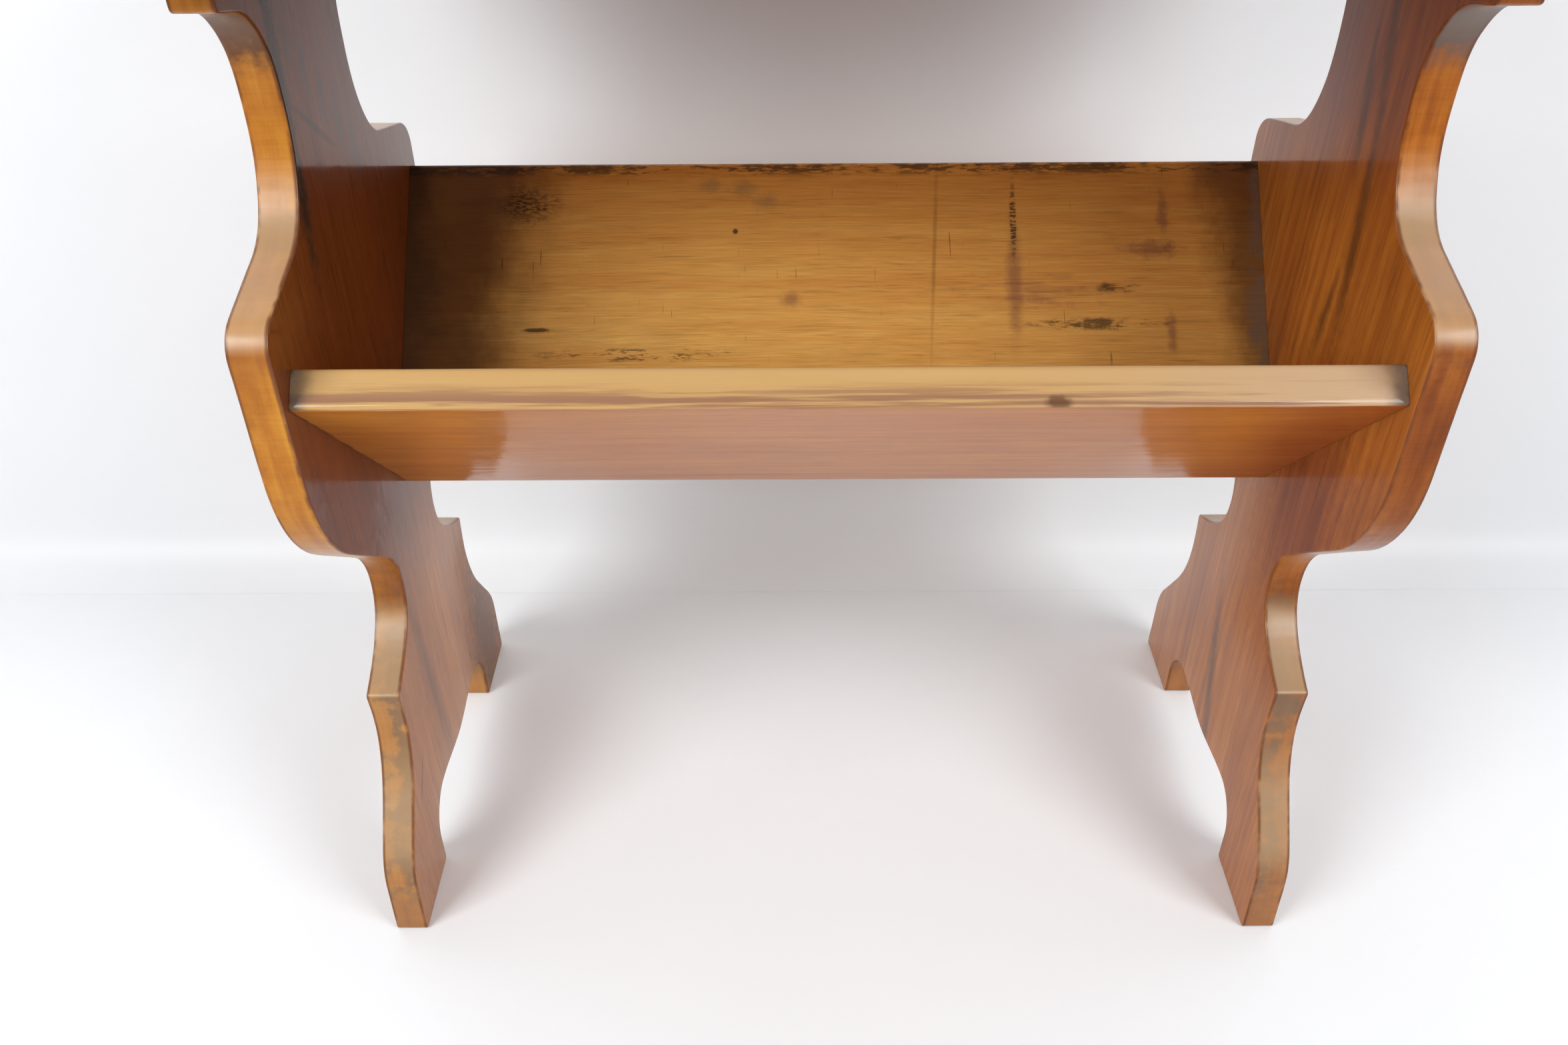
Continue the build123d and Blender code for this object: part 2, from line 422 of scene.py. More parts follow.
class Timber(Graph):
    """A varnished board's material: grain along one direction, marks placed by shares of a face."""

    def __init__(self, name, along, across, through, origin=(0, 0, 0), seed=0.0):
        super().__init__(name)
        self.place = self.position()
        relative = self.vector("SUBTRACT", self.place, tuple(origin))
        self.along = self.vector("DOT_PRODUCT", relative, tuple(along))
        self.across = self.vector("DOT_PRODUCT", relative, tuple(across))
        self.through = self.vector("DOT_PRODUCT", relative, tuple(through))
        self.seed = seed
        self.ragged = self.math("SUBTRACT", self.cloud(170, shift=2.0, detail=5.0), 0.5)
        self.face = (0.0, 0.0)      # where on the marked face, as shares of its size

    def grain(self, along, across, through=None, detail=2.0, roughness=0.55, shift=0.0, bend=0.0):
        """Noise stretched along the grain: how many changes per metre each way."""
        sideways = self.across
        if bend:
            slow = self.math("MULTIPLY", self.along, 3.1)
            wander = self.noise(self.combine(slow, self.seed, 0.7), 1.0)
            sideways = self.math("MULTIPLY_ADD", wander, bend, sideways)
        return self.noise(
            self.combine(
                self.math("MULTIPLY_ADD", self.along, along, self.seed + shift),
                self.math("MULTIPLY_ADD", sideways, across, self.seed * 1.7 + shift),
                self.math("MULTIPLY", self.through, through or across),
            ),
            detail, roughness,
        )

    def cloud(self, per_metre, shift=0.0, detail=2.0):
        """Plain noise in the row frame."""
        moved = self.vector("MULTIPLY", self.place, (per_metre,) * 3)
        moved = self.vector("ADD", moved, (self.seed + shift, shift * 1.3, shift * 0.7))
        return self.noise(moved, detail, 0.6)

    def mark(self, centre, half, lean=0.0, soft=0.4, ragged=2.0):
        """A ragged oval on the face, in shares of its size: 1 inside and 0 outside."""
        up = self.math("SUBTRACT", self.face[1], centre[1])
        side = self.math("SUBTRACT", self.face[0], self.math("MULTIPLY_ADD", up, lean, centre[0]))
        side = self.math("DIVIDE", side, half[0])
        up = self.math("DIVIDE", up, half[1])
        reach = self.math("SQRT", self.math("MULTIPLY_ADD", side, side, self.math("MULTIPLY", up, up)))
        reach = self.math("MULTIPLY_ADD", self.ragged, ragged, reach)
        return self.between(reach, 1 - soft, 1 + soft, 1.0, 0.0)

    def stain(self, colour, tint, strength, *masks):
        """Lays a tint over the colour where any of the masks is set."""
        for mask in masks:
            colour = self.mix(self.math("MULTIPLY", mask, strength, clamp=True), colour, tint)
        return colour

    def shade(self, colour, amount, mask):
        """Multiplies the colour by an amount where the mask is set."""
        return self.mix(mask, colour, self.mix(1.0, colour, amount, "MULTIPLY"))

    def varnished(self, colour, height, roughness=0.45, sheen=0.10, coat=0.9, dull=0.0):
        """The wood under a glossy coat that lies slightly wavy along the grain, rougher where it is dull.

        Old varnish scatters what it mirrors, so a mirror image of the coat hardly mirrors anything itself.
        """
        waves = self.grain(2.5, 55, detail=2.0, shift=8.3)
        fine = self.grain(9, 420, detail=2.0, shift=4.1)
        lie = self.math("MULTIPLY_ADD", fine, 0.25, waves)
        film = self.bump(lie, 0.35, 0.35 * mm)
        smudge = self.between(self.cloud(38, shift=5.0, detail=4.0), 0.35, 0.75, 0.6, 1.7)
        gloss = self.math("MULTIPLY", smudge, sheen)
        mirrored = self.add("ShaderNodeLightPath").outputs["Is Glossy Ray"]
        left_in_mirror, added_roughness = 0.2, 0.22
        weight = self.math("MULTIPLY", self.between(mirrored, 0.0, 1.0, 1.0, left_in_mirror), coat)
        gloss = self.math("MULTIPLY_ADD", dull, added_roughness, gloss)
        return self.finish(
            Base_Color=colour,
            Roughness=roughness,
            Specular_IOR_Level=0.08,
            Normal=self.bump(height, 0.5, 0.12 * mm),
            Coat_Weight=weight,
            Coat_Roughness=gloss,
            Coat_IOR=1.5,
            Coat_Normal=film,
        )


def timber_colour(wood, tones, spread=0.2, streaks=0.35, bend=0.02, flecks=0.5):
    """Base colour of face grain, and its surface height: bands, streaks, fibres and pores."""
    light, middle, dark = tones
    bands = wood.grain(2.2, 19, detail=4.0, roughness=0.6, bend=bend, shift=1.0)
    lines = wood.grain(5.0, 150, detail=4.0, roughness=0.65, bend=bend, shift=2.0)
    fibre = wood.grain(34, 1300, detail=2.0, roughness=0.6, bend=bend, shift=3.0)
    pores = wood.grain(70, 1500, detail=2.0, bend=bend, shift=6.0)
    figure = wood.math("MULTIPLY_ADD", lines, 0.56, wood.math("MULTIPLY", bands, 0.52))
    middling = 0.54
    colour = wood.ramp(figure, (middling - spread, dark), (middling, middle), (middling + spread, light))

    flame = wood.grain(2.6, 48, detail=5.0, roughness=0.65, bend=bend * 2, shift=9.0)
    gathered = wood.between(wood.cloud(7, shift=18.0, detail=2.0), 0.40, 0.62, 0.15, 1.0)
    flame = wood.math("MULTIPLY", wood.between(flame, 0.52, 0.68), gathered)
    colour = wood.mix(wood.math("MULTIPLY", flame, streaks), colour, dark)
    clouded = wood.between(wood.cloud(13, shift=24.0, detail=3.0), 0.40, 0.66)
    colour = wood.mix(wood.math("MULTIPLY", clouded, 0.22), colour, dark)

    weave = wood.ramp(fibre, (0.25, (0.60, 0.54, 0.50)), (0.7, (1.12, 1.11, 1.10)))
    colour = wood.mix(0.6, colour, weave, "MULTIPLY")
    pore = wood.between(pores, 0.60, 0.72)
    cracks = wood.grain(22, 430, detail=3.0, roughness=0.6, bend=bend, shift=27.0)
    cracks = wood.between(cracks, 0.58, 0.70)
    colour = wood.mix(wood.math("MULTIPLY", cracks, 0.7 * flecks), colour, umber)
    patchy = wood.between(wood.cloud(11, shift=12.0, detail=3.0), 0.38, 0.60)
    colour = wood.mix(wood.math("MULTIPLY", wood.math("MULTIPLY", pore, patchy), flecks), colour, umber)
    height = wood.math("MULTIPLY_ADD", pore, -0.6, wood.math("MULTIPLY_ADD", lines, 0.5, fibre))
    return colour, height


def noise_each_way(wood, parts, per_metre, detail, roughness):
    """Noise with its own number of changes per metre along x, y and z."""
    scaled = [wood.math("MULTIPLY", part, rate) for part, rate in zip(parts, per_metre)]
    return wood.noise(wood.combine(*scaled), detail, roughness)


def sawn_colour(wood, tones):
    """Base colour of the scroll-sawn edge, with fine saw lines square to the faces."""
    light, middle, dark = tones
    broad = wood.cloud(16, shift=3.0, detail=5.0)
    parts = wood.separate(wood.place)
    saw = noise_each_way(wood, parts, (22, 380, 620), 4.0, 0.7)
    layers = noise_each_way(wood, parts, (170, 9, 9), 4.0, 0.6)
    tone = wood.math("MULTIPLY_ADD", layers, 0.40, wood.math("MULTIPLY", broad, 0.60))
    colour = wood.ramp(tone, (0.38, dark), (0.50, middle), (0.63, light))
    lines = wood.ramp(saw, (0.30, (0.78, 0.74, 0.70)), (0.62, (1.06, 1.06, 1.06)))
    colour = wood.mix(0.40, colour, lines, "MULTIPLY")
    smoky = wood.between(wood.cloud(34, shift=16.0, detail=5.0), 0.52, 0.68)
    colour = wood.mix(wood.math("MULTIPLY", smoky, 0.45), colour, dark)
    return colour, saw


def left_face_marks(wood, colour):
    """The left panel's inner face: painted shade from the trough up, a dark rim by the neck, blooms, a
    scratch, a crack and darker patches low down.
    """
    # Painted shade: darker from the trough's floor upwards, under the top board.
    colour = wood.shade(colour, (0.39, 0.25, 0.20), wood.between(wood.face[1], 0.28, 0.46))
    rim = wood.mark((-0.37, 0.86), (0.055, 0.13), lean=0.5, ragged=1.4)
    colour = wood.stain(colour, soot, 0.88, rim)
    blooms = 5
    first, last = Vector((-0.23, 0.91)), Vector((0.23, 0.78))
    for k in range(blooms):
        bloom = wood.mark(first.lerp(last, k / (blooms - 1)), (0.036, 0.022), soft=0.7, ragged=2.6)
        colour = wood.stain(colour, bloom_grey, 0.55, bloom)
    scratch = wood.mark((-0.14, 0.83), (0.025, 0.032), lean=-5.3, ragged=0.6)
    crack = wood.mark((-0.63, 0.15), (0.014, 0.022), lean=3.7, ragged=0.8)
    colour = wood.stain(colour, soot, 0.5, scratch, crack)
    # Darker patches low on the leg and at the rear foot.
    leg_band = wood.mark((-0.24, 0.21), (0.06, 0.13), lean=-0.6, soft=0.8, ragged=1.2)
    rear_foot = wood.mark((0.72, 0.08), (0.26, 0.13), soft=0.8)
    colour = wood.stain(colour, umber, 0.45, leg_band)
    return wood.stain(colour, umber, 0.80, rear_foot)


def right_face_marks(wood, colour):
    """The right panel's inner face: painted shade on its upper part and under the trough, and dark flames
    that slant down its neck and through the trough.
    """
    # Painted shade on the upper part, under the top board.
    colour = wood.shade(colour, (0.64, 0.46, 0.36), wood.between(wood.face[1], 0.70, 0.86))
    # Painted shade on the face under the trough.
    under_trough_shade = wood.mark((-0.42, 0.46), (0.42, 0.13), soft=0.8, ragged=1.0)
    colour = wood.shade(colour, (0.60, 0.44, 0.38), under_trough_shade)
    flames = [
        wood.mark((-0.10, 0.89), (0.035, 0.06), lean=1.0, soft=0.8, ragged=1.2),
        wood.mark((-0.02, 0.84), (0.030, 0.05), lean=1.0, soft=0.8, ragged=1.2),
        wood.mark((-0.23, 0.74), (0.036, 0.09), lean=0.55, soft=0.8, ragged=1.2),
        wood.mark((-0.15, 0.65), (0.026, 0.04), lean=-0.5, soft=0.8, ragged=1.2),
        wood.mark((0.01, 0.14), (0.045, 0.11), lean=1.28, soft=0.8, ragged=1.2),
    ]
    return wood.stain(colour, umber, 0.72, *flames)


def edge_marks(wood, colour, cove_tint, belly_shade, from_inside):
    """Darker marks on a panel's sawn front edge at its belly, waist, coves and shoulder, and grime on the
    leg's inner side.
    """
    belly = wood.mark((-1.02, 0.64), (0.30, 0.10), soft=0.7, ragged=1.2)
    colour = wood.shade(colour, belly_shade, belly)
    waist = wood.mark((-0.45, 0.33), (0.25, 0.05), soft=0.8, ragged=1.2)
    colour = wood.shade(colour, (0.58, 0.56, 0.78), waist)
    top_cove = wood.mark((-0.45, 0.93), (0.20, 0.028), soft=0.6)
    colour = wood.stain(colour, cove_tint, 0.85, top_cove)
    neck_foot = wood.mark((-0.53, 0.775), (0.11, 0.014), soft=0.6)
    colour = wood.stain(colour, slate, 0.60, neck_foot)
    low_cove = wood.mark((-0.58, 0.300), (0.10, 0.016), soft=0.6)
    colour = wood.stain(colour, slate, 0.55, low_cove)
    shoulder = wood.mark((-0.74, 0.750), (0.10, 0.014), soft=0.8)
    colour = wood.stain(colour, plum, 0.35, shoulder)
    shoulder_tip = wood.mark((-1.00, 0.735), (0.07, 0.022), soft=0.8)
    colour = wood.stain(colour, plum, 0.30, shoulder_tip)
    below_waist = wood.between(wood.face[1], 0.38, 0.30)
    above_floor = wood.between(wood.face[1], 0.02, 0.08)
    leg = wood.math("MULTIPLY", below_waist, above_floor)
    inner_side = wood.between(from_inside, 16 * mm, 3 * mm)
    blotch = wood.math("MULTIPLY_ADD", inner_side, 0.15, wood.cloud(75, shift=6.0, detail=6.0))
    blotch = wood.math("MULTIPLY", wood.between(blotch, 0.50, 0.65), leg)
    return wood.stain(colour, leg_grime, 0.72, blotch)


def panel_timber(wood, side, inward):
    """A panel's face colour and height, and its sawn edge's colour and height."""
    if side < 0:
        face, height = timber_colour(wood, left_face, spread=0.24, streaks=0.30, flecks=0.8)
        marked = left_face_marks(wood, face)
        edge, saw = sawn_colour(wood, left_edge)
        edge = edge_marks(wood, edge, umber, (1.0, 1.0, 0.8), inward)
    else:
        face, height = timber_colour(wood, right_face, spread=0.20, streaks=0.60)
        marked = right_face_marks(wood, face)
        edge, saw = sawn_colour(wood, right_edge)
        edge = edge_marks(wood, edge, slate, (0.62, 0.52, 0.45), inward)
    face = wood.mix(wood.between(inward, board / 2, board / 4), face, marked)
    return face, height, edge, saw


def edge_painted_paler(wood, edge, facing):
    """The sawn edge with a painted highlight where it faces up, and paler down the legs."""
    # Painted highlight: paler where the sawn edge faces up towards the light.
    up_facing_highlight = wood.math("MULTIPLY", wood.between(facing, 0.15, 0.7), 0.55)
    edge = wood.mix(up_facing_highlight, edge, highlight_tan)
    legs = wood.math("MULTIPLY", wood.between(wood.face[1], 0.34, 0.26), 0.35)
    return wood.mix(legs, edge, leg_tan)


def panel_coat(wood, side, facing, sawn):
    """How much varnish is left: thin on the sawn edge, and unlike on the two panels' faces."""
    if side < 0:
        low = wood.between(wood.face[1], 0.32, 0.22)
        rear_foot = wood.math("MULTIPLY", low, wood.between(wood.face[0], 0.1, 0.6))
        middle = wood.mark((-0.60, 0.55), (0.35, 0.14), soft=0.8)
        coat = wood.between(wood.math("MAXIMUM", rear_foot, middle), 0.0, 1.0, 0.98, 0.50)
        bare = 0.38
    else:
        rear = wood.between(wood.face[0], -0.25, 0.30, 0.32, 0.90)
        low = wood.between(wood.face[1], 0.36, 0.20, 0.0, 0.80)
        coat = wood.math("MAXIMUM", rear, low)
        bare = 0.26
    tilt = wood.math("ABSOLUTE", facing)
    edge_coat = wood.between(tilt, 0.25, 0.70, bare, 0.95)
    return wood.math("MULTIPLY_ADD", sawn, wood.math("SUBTRACT", edge_coat, coat), coat)


def panel_material(name, side):
    """An end panel: upright grain on its faces, saw-marked edges, the grime of long use, and painted shade
    and highlights.
    """
    wood = Timber(name, (0, 0, 1), (0, 1, 0), (1, 0, 0), seed=3.0 if side < 0 else 11.0)
    x, y, z = wood.separate(wood.place)
    wood.face = (wood.math("DIVIDE", y, panel_high.y), wood.math("DIVIDE", z, panel_top))
    inward = wood.math("SUBTRACT", wood.math("ABSOLUTE", x), inner_face)
    face, height, edge, saw = panel_timber(wood, side, inward)
    facing = wood.separate(wood.add("ShaderNodeNewGeometry").outputs["Normal"])[2]
    edge = edge_painted_paler(wood, edge, facing)

    rim = 1.6 * mm
    from_rim = wood.math("MINIMUM", inward, wood.math("SUBTRACT", board, inward))
    sawn = wood.between(from_rim, 0.1 * mm, 0.7 * mm)
    arris = wood.between(from_rim, rim * 0.7, rim * 1.6, 1.0, 0.0)
    patches = wood.between(wood.cloud(60, shift=2.0), 0.30, 0.55)
    edge = wood.stain(edge, rim_brown, 0.8, wood.math("MULTIPLY", arris, patches))
    colour = wood.mix(sawn, face, edge)
    relief = wood.math("MULTIPLY_ADD", sawn, wood.math("SUBTRACT", saw, height), height)
    coat = panel_coat(wood, side, facing, sawn)
    return wood.varnished(colour, relief, coat=coat, dull=sawn)


def trough_timber(name, side, tones, streaks):
    """A trough board's grain: along its length, up its face and through its thickness."""
    lean = 1 / diagonal
    apex = (0, front_high.y - board * lean, front_low.z)
    wood = Timber(name, (1, 0, 0), (0, side * lean, lean), (0, -side * lean, lean), apex, 21.0 + side)
    return wood, *timber_colour(wood, tones, spread=0.20, streaks=streaks, bend=0.010, flecks=0.3)


def back_board_end_grime_and_shadow(wood, colour):
    """Grime and the panels' painted shadows where the back board meets them, darkest at the left."""
    ragged = wood.math("SUBTRACT", wood.cloud(30, shift=1.0, detail=5.0), 0.5)
    ragged = wood.math("MULTIPLY", ragged, 55 * mm)
    from_left = wood.math("ADD", wood.math("ADD", wood.along, inner_face), ragged)
    from_right = wood.math("ADD", wood.math("SUBTRACT", inner_face, wood.along), ragged)
    wider = wood.math("MULTIPLY", wood.face[1], 32 * mm)
    # Painted shadow of each panel, mixed with grime: wider up the board and longer at the left.
    left_end = wood.between(wood.math("SUBTRACT", from_left, wider), 16 * mm, 80 * mm, 1.0, 0.0)
    right_end = wood.between(wood.math("SUBTRACT", from_right, wider), -12 * mm, 26 * mm, 1.0, 0.0)
    colour = wood.stain(colour, umber, 0.90, left_end)
    colour = wood.stain(colour, umber, 0.78, right_end)
    colour = wood.stain(colour, soot, 0.55, wood.between(from_left, 0.0, 30 * mm, 1.0, 0.0))
    dusty = wood.between(from_right, 2 * mm, 11 * mm, 1.0, 0.0)
    return wood.stain(colour, slate, 0.9, wood.math("MULTIPLY", dusty, wood.cloud(320, detail=4.0)))


def back_board_scuffs(wood, colour):
    """Short dark scuffs in rows, thin upright ticks, and an ink patch, from what stood in the trough."""
    flecks = wood.grain(110, 520, detail=4.0, roughness=0.7, shift=14.0)
    clumps = wood.grain(16, 3, detail=2.0, shift=4.0)
    rubbed = wood.between(wood.math("MULTIPLY_ADD", clumps, 0.7, flecks), 0.80, 0.93)
    rows = [
        wood.between(wood.face[1], 0.945, 0.975),
        wood.mark((-0.46, 0.305), (0.20, 0.022), ragged=1.0),
        wood.mark((0.60, 0.410), (0.15, 0.020), ragged=1.0),
        wood.mark((0.66, 0.540), (0.05, 0.018), ragged=1.0),
    ]
    colour = wood.stain(colour, soot, 0.75, *(wood.math("MULTIPLY", row, rubbed) for row in rows))

    upright = wood.combine(
        wood.math("MULTIPLY", wood.along, 420), wood.math("MULTIPLY", wood.across, 26), 3.0
    )
    upright = wood.noise(upright, 2.0, 0.5)
    here = wood.between(wood.cloud(26, shift=21.0, detail=3.0), 0.48, 0.60)
    ticks = wood.math("MULTIPLY", wood.between(upright, 0.68, 0.72), here)
    colour = wood.stain(colour, umber, 0.6, ticks)
    hatch = wood.between(wood.grain(240, 700, detail=4.0, roughness=0.7, shift=23.0), 0.44, 0.56)
    inked = wood.math("MULTIPLY", wood.mark((-0.72, 0.855), (0.055, 0.055), soft=0.8), hatch)
    dotted_line = wood.mark((0.42, 0.79), (0.007, 0.13), ragged=0.5)
    dotted_line = wood.math("MULTIPLY", dotted_line, wood.between(flecks, 0.46, 0.52))
    dash = wood.mark((-0.69, 0.395), (0.032, 0.008), ragged=0.9)
    dot = wood.mark((-0.23, 0.75), (0.006, 0.010), ragged=0.4)
    return wood.stain(colour, soot, 0.85, inked, dotted_line, dash, dot)


def back_board_smears(wood, colour):
    """Soft brown and plum smears on the back board, blots near its top and one long thin line."""
    fibres = wood.between(wood.grain(18, 300, detail=3.0, shift=15.0), 0.42, 0.60)
    smears = [
        wood.mark((0.42, 0.56), (0.016, 0.17), soft=0.8, ragged=1.4),
        wood.mark((0.77, 0.80), (0.010, 0.08), soft=0.8, ragged=3.0),
        wood.mark((0.74, 0.68), (0.05, 0.03), soft=0.8, ragged=3.0),
        wood.mark((0.78, 0.38), (0.010, 0.06), soft=0.8, ragged=3.0),
        wood.mark((-0.10, 0.50), (0.020, 0.022), soft=0.8),
        wood.math("MULTIPLY", wood.mark((0.45, 0.53), (0.14, 0.05), soft=0.8), fibres),
    ]
    colour = wood.stain(colour, plum, 0.55, *smears)
    blot_places = ((-0.29, 0.92), (-0.21, 0.91), (-0.16, 0.86))
    blots = [wood.mark(place, (0.024, 0.022), soft=0.8) for place in blot_places]
    line = wood.mark((0.235, 0.68), (0.004, 0.30), lean=0.03, soft=0.9, ragged=1.4)
    colour = wood.stain(colour, umber, 0.35, line)
    return wood.stain(colour, blot_brown, 0.45, *blots)


def back_board_material(name):
    """The trough's back board: golden, with painted shade near its top, and marks on its inner face only."""
    wood, colour, height = trough_timber(name, 1, back_board, streaks=0.30)
    inside_width = (back_high.z - front_low.z - board * diagonal) * diagonal
    up = wood.math("DIVIDE", wood.math("SUBTRACT", wood.across, board), inside_width)
    wood.face = (wood.math("DIVIDE", wood.along, inner_face), up)
    # Painted shade: darker towards its top, under the top board.
    colour = wood.shade(colour, (0.74, 0.56, 0.43), wood.between(up, 0.62, 1.0))
    used = back_board_end_grime_and_shadow(wood, colour)
    used = back_board_smears(wood, used)
    used = back_board_scuffs(wood, used)
    inside = wood.between(wood.through, board * 0.55, board * 0.95)
    colour = wood.mix(inside, colour, used)
    return wood.varnished(colour, height, sheen=0.13)


def front_board_material(name):
    """The trough's front board: a pale worn top edge with plum streaks, a knot, dirt at its ends, and
    painted shade over its right end.
    """
    wood, colour, height = trough_timber(name, -1, front_board, streaks=0.4)
    front_width = (front_high.z - front_low.z) * diagonal - board
    wood.face = (wood.math("DIVIDE", wood.along, inner_face), wood.math("DIVIDE", wood.through, board))
    top_edge = wood.between(wood.across, front_width - 0.9 * mm, front_width - 0.4 * mm)
    pale = wood.mix(wood.grain(5, 90, detail=4.0, shift=5.0), (0.57, 0.36, 0.150), (0.51, 0.27, 0.085))
    to_the_right = wood.between(wood.face[0], 0.2, 1.0)
    pale = wood.mix(wood.math("MULTIPLY", to_the_right, 0.7), pale, dusty_pink)
    lower = wood.between(wood.face[1], 0.78, 0.20)
    streaks = wood.grain(3.5, 150, detail=4.0, roughness=0.7, shift=19.0, bend=0.012)
    streaks = wood.between(streaks, 0.48, 0.61)
    pale = wood.stain(pale, pale_plum, 0.72, wood.math("MULTIPLY", streaks, lower))
    knot = wood.mark((0.375, 0.12), (0.022, 0.16), ragged=1.0)
    pale = wood.stain(pale, umber, 0.75, knot)
    from_end = wood.math("SUBTRACT", inner_face, wood.math("ABSOLUTE", wood.along))
    from_end = wood.math("ADD", from_end, wood.math("MULTIPLY", wood.cloud(90, detail=4.0), 10 * mm))
    pale = wood.stain(pale, slate, 0.75, wood.between(from_end, 7 * mm, 17 * mm, 1.0, 0.0))
    # Painted shade: the right end darker, where the board mirrors the dark panel.
    right_end = wood.between(wood.face[0], 0.72, 0.95)
    colour = wood.shade(colour, (0.72, 0.52, 0.60), right_end)
    colour = wood.mix(top_edge, colour, pale)
    colour = wood.stain(colour, soot, 0.6, wood.between(from_end, 4 * mm, 7 * mm, 1.0, 0.0))
    return wood.varnished(colour, height, coat=0.70)


def top_material(name):
    """The top board: the same timber, polished a little better."""
    wood = Timber(name, (1, 0, 0), (0, 1, 0), (0, 0, 1), seed=31.0)
    colour, height = timber_colour(wood, top_tones)
    return wood.varnished(colour, height, sheen=0.09)


def cleat_material(name):
    """Cleats: plain straight-grained stock with a thinner coat."""
    wood = Timber(name, (0, 1, 0), (1, 0, 0), (0, 0, 1), seed=41.0)
    colour, height = timber_colour(wood, cleat_tones)
    return wood.varnished(colour, height, sheen=0.2, coat=0.6)


def plug_material(name):
    """Plug ends: cross grain that shows a little darker than the panel round it."""
    wood = Timber(name, (0, 0.7, 0.7), (0, -0.7, 0.7), (1, 0, 0), seed=51.0)
    colour, height = timber_colour(wood, plug_tones)
    return wood.varnished(colour, height)


def dowel_material(name):
    """Dowels: pale unvarnished beech with short flecks."""
    wood = Timber(name, (0, 0.7, 0.7), (1, 0, 0), (0, -0.7, 0.7), seed=61.0)
    colour, height = timber_colour(wood, dowel_tones)
    return wood.varnished(colour, height, roughness=0.7, coat=0.0)


def steel_material(name):
    """Zinc-plated screws, dulled and turned."""
    steel = Graph(name)
    place = steel.position()
    fine = steel.noise(steel.vector("MULTIPLY", place, (900, 900, 2600)), 3.0, 0.6)
    broad = steel.noise(steel.vector("MULTIPLY", place, (160, 160, 160)), 3.0, 0.6)
    colour = steel.ramp(broad, (0.35, (0.36, 0.34, 0.30)), (0.65, (0.62, 0.61, 0.58)))
    return steel.finish(
        Base_Color=colour,
        Metallic=1.0,
        Roughness=steel.between(broad, 0.3, 0.7, 0.28, 0.5),
        Normal=steel.bump(fine, 0.3, 0.05 * mm),
    )


# ---------------------------------------------------------------- the table
def end_panel(side):
    """One end panel, from the CAD panel's outline, with softened and slightly uneven sawn edges."""
    word = "left" if side < 0 else "right"
    node = f"end_panel_{word}"
    middle = side * (inner_face + outer_face) / 2
    loop = resampled(outline(node, (middle, 0, 0), (1, 0, 0)), step, 2)
    start, end = sorted((side * inner_face, side * outer_face))
    piece = loft(
        f"{word}_panel", loop, (1, 0, 0), start, end, radius=1.3 * mm, unevenness=0.25 * mm, wear=0.35
    )
    for vertex in piece.data.vertices:
        vertex.co.z = min(max(vertex.co.z, 0.0), panel_top)
    bored(piece, ["trough_end_screws", "screw_plugs", "cleat_screws"])
    shaded(piece)
    return shown(piece, node, panel_material(f"{word}_panel_wood", side))


def trough_board(word, material):
    """One board of the V, its free edge softened."""
    node = f"trough_{word}_board"
    loop = resampled(outline(node, (0, 0, 0), (1, 0, 0)), step, 1)
    piece = loft(
        f"{word}_trough_board", loop, (1, 0, 0), -inner_face, inner_face,
        radius=0.3 * mm, unevenness=0.1 * mm, middle_steps=60,
    )
    bored(piece, ["trough_end_screws", "trough_dowels"])
    shaded(piece)
    return shown(piece, node, material(f"{word}_trough_wood"))


def top():
    """The table top, rounded along its rims."""
    low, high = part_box("top_board")
    middle = (0, 0, (low.z + high.z) / 2)
    loop = resampled(outline("top_board", middle, (0, 0, 1)), 2 * mm, 2)
    piece = loft(
        "table_top", loop, (0, 0, 1), low.z, high.z, radius=5 * mm, unevenness=0.2 * mm, wear=0.1
    )
    bored(piece, ["cleat_screws"])
    shaded(piece)
    return shown(piece, "top_board", top_material("top_wood"))


def top_cleat(word):
    """A cleat in the corner between an end panel and the top."""
    node = f"top_cleat_{word}"
    low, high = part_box(node)
    clear_of_screws = (low + high) / 2 + Vector((0, 7 * mm, 0))
    loop = resampled(outline(node, clear_of_screws, (0, 1, 0)), 1 * mm, 1)
    piece = loft(
        f"{word}_top_cleat", loop, (0, 1, 0), low.y, high.y,
        radius=0.8 * mm, unevenness=0.1 * mm, wear=0.3, middle_steps=20,
    )
    bored(piece, ["cleat_screws"])
    shaded(piece)
    return shown(piece, node, cleat_material(f"{word}_cleat_wood"))


def painted(node, material):
    """Gives a CAD node that stays as it is its material."""
    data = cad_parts[node].data
    data.materials.clear()
    data.materials.append(material)


end_panel(-1)
end_panel(1)
trough_board("front", front_board_material)
trough_board("back", back_board_material)
top()
top_cleat("left")
top_cleat("right")
painted("screw_plugs", plug_material("plug_wood"))
painted("trough_dowels", dowel_material("dowel_wood"))
steel = steel_material("screw_steel")
painted("trough_end_screws", steel)
painted("cleat_screws", steel)


# ---------------------------------------------------------------- studio
backdrop_gap = 0.100                # from the table top's back edge to the backdrop
backdrop_height = 1.1
backdrop_half_width = 1.5
sweep_radius = 0.05                 # where the floor turns up into the backdrop
softbox = 0.85                      # the side of a square softbox
lit_point = (0, 0, 0.3)             # where the softboxes aim
cool_white = (0.96, 1.0, 1.01)


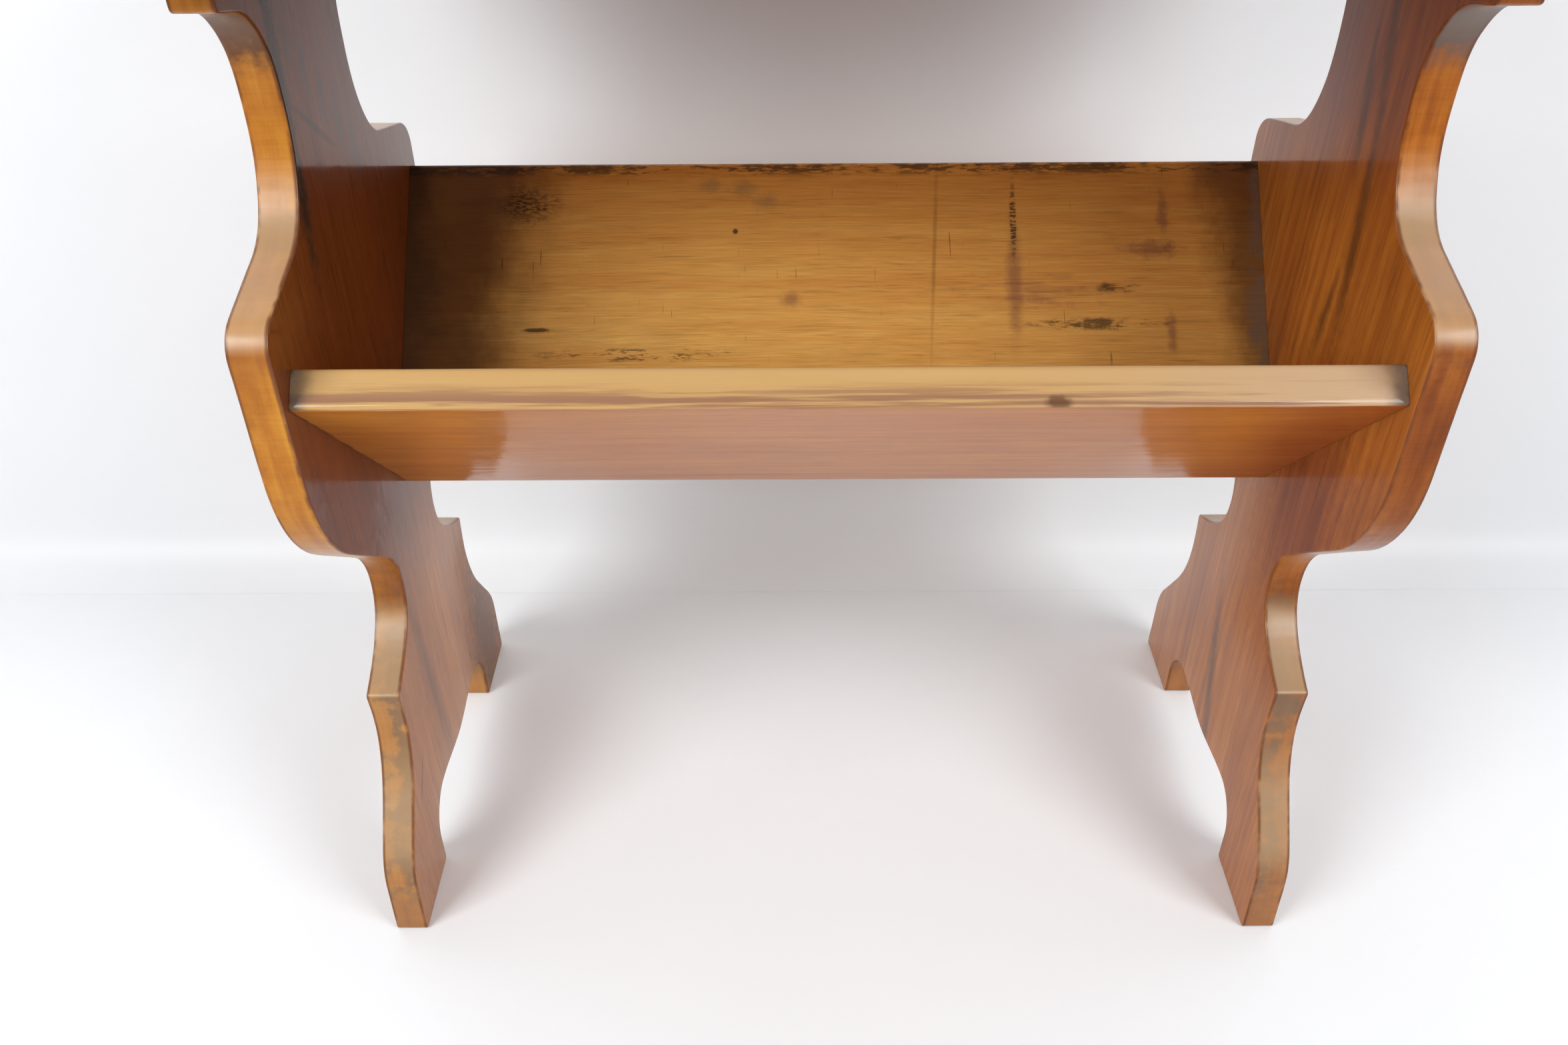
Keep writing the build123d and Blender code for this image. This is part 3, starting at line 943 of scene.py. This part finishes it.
def studio_paper():
    """Plain pale paper, not seen from behind so that the backdrop never hides the table."""
    pale = Graph("studio_paper")
    haze = pale.noise(pale.vector("MULTIPLY", pale.position(), (3, 3, 3)), 3.0, 0.6)
    material = pale.finish(
        Base_Color=pale.ramp(haze, (0.3, (0.87, 0.87, 0.885)), (0.7, (0.89, 0.89, 0.90))),
        Roughness=0.42,
        Specular_IOR_Level=0.3,
    )
    output = next(n for n in pale.tree.nodes if n.bl_idname == "ShaderNodeOutputMaterial")
    surface = output.inputs["Surface"].links[0].from_socket
    seen = pale.add("ShaderNodeLightPath").outputs["Is Camera Ray"]
    behind = pale.math("MULTIPLY", pale.add("ShaderNodeNewGeometry").outputs["Backfacing"], seen)
    choice = pale.add("ShaderNodeMixShader")
    pale.feed(choice.inputs[0], behind)
    pale.tree.links.new(surface, choice.inputs[1])
    pale.tree.links.new(pale.add("ShaderNodeBsdfTransparent").outputs[0], choice.inputs[2])
    pale.tree.links.new(choice.outputs[0], output.inputs["Surface"])
    return material


def sheet(name, rows, half_width, material):
    """A wide sheet through a row of (y, z) places, facing up and forwards."""
    mesh = bmesh.new()
    pairs = [[mesh.verts.new((x, y, z)) for x in (-half_width, half_width)] for y, z in rows]
    for (a, b), (c, d) in zip(pairs, pairs[1:]):
        mesh.faces.new((a, b, d, c)).smooth = True
    data = bpy.data.meshes.new(name)
    mesh.to_mesh(data)
    mesh.free()
    data.materials.append(material)
    piece = bpy.data.objects.new(name, data)
    bpy.context.scene.collection.objects.link(piece)


def paper_stage():
    """A pale floor, and behind the table a low backdrop that curves up from it."""
    reach = 6.0
    wall = cad_high.y + backdrop_gap
    paper = studio_paper()
    sheet("floor", [(-reach, 0), (reach, 0)], reach, paper)
    turns = 8
    bend = [
        (wall + sweep_radius * (sin(a) - 1), sweep_radius * (1 - cos(a)) + 0.1 * mm)
        for a in (pi / 2 * k / turns for k in range(turns + 1))
    ]
    sheet("backdrop", bend + [(wall, backdrop_height)], backdrop_half_width, paper)


def soft_light(name, place, energy):
    """A large soft area light aimed at the table."""
    data = bpy.data.lights.new(name, "AREA")
    data.shape = "RECTANGLE"
    data.size = softbox
    data.size_y = softbox
    data.energy = energy
    data.color = cool_white
    light = bpy.data.objects.new(name, data)
    light.location = place
    light.rotation_euler = (Vector(lit_point) - Vector(place)).to_track_quat("-Z", "Y").to_euler()
    bpy.context.scene.collection.objects.link(light)


def surroundings(behind_camera, elsewhere):
    """A pale room, dimmer on the camera's side."""
    world = bpy.data.worlds.new("pale_room")
    world.use_nodes = True
    tree = world.node_tree
    direction = tree.nodes.new("ShaderNodeTexCoord")
    parts = tree.nodes.new("ShaderNodeSeparateXYZ")
    tree.links.new(direction.outputs["Generated"], parts.inputs[0])
    level = tree.nodes.new("ShaderNodeMapRange")
    level.interpolation_type = "SMOOTHSTEP"
    for socket, value in zip(level.inputs[1:], (-0.75, 0.15, behind_camera, elsewhere)):
        socket.default_value = value
    tree.links.new(parts.outputs[1], level.inputs[0])
    background = tree.nodes["Background"]
    background.inputs["Color"].default_value = (0.97, 1.0, 1.04, 1.0)
    tree.links.new(level.outputs[0], background.inputs["Strength"])
    bpy.context.scene.world = world


def camera():
    """Looking down on the front from a little left of the middle."""
    data = bpy.data.cameras.new("camera")
    data.lens = 29.98
    data.sensor_width = 36.0
    data.clip_start = 0.01
    item = bpy.data.objects.new("camera", data)
    tilt_down = radians(36.855)
    heading = radians(-0.3845)
    roll = radians(0.4579)
    aim = Euler((pi / 2 - tilt_down, 0, -heading)).to_matrix() @ Matrix.Rotation(-roll, 3, "Z")
    item.matrix_world = Matrix.Translation((-0.0266, -0.6485, 0.7091)) @ aim.to_4x4()
    bpy.context.scene.collection.objects.link(item)
    bpy.context.scene.camera = item


paper_stage()
surroundings(behind_camera=0.27, elsewhere=0.39)
soft_light("left_softbox", (-1.11, -1.00, 1.20), energy=21.4)
soft_light("right_softbox", (1.15, -0.96, 1.20), energy=17.8)
camera()
bpy.context.scene.view_settings.view_transform = "Standard"
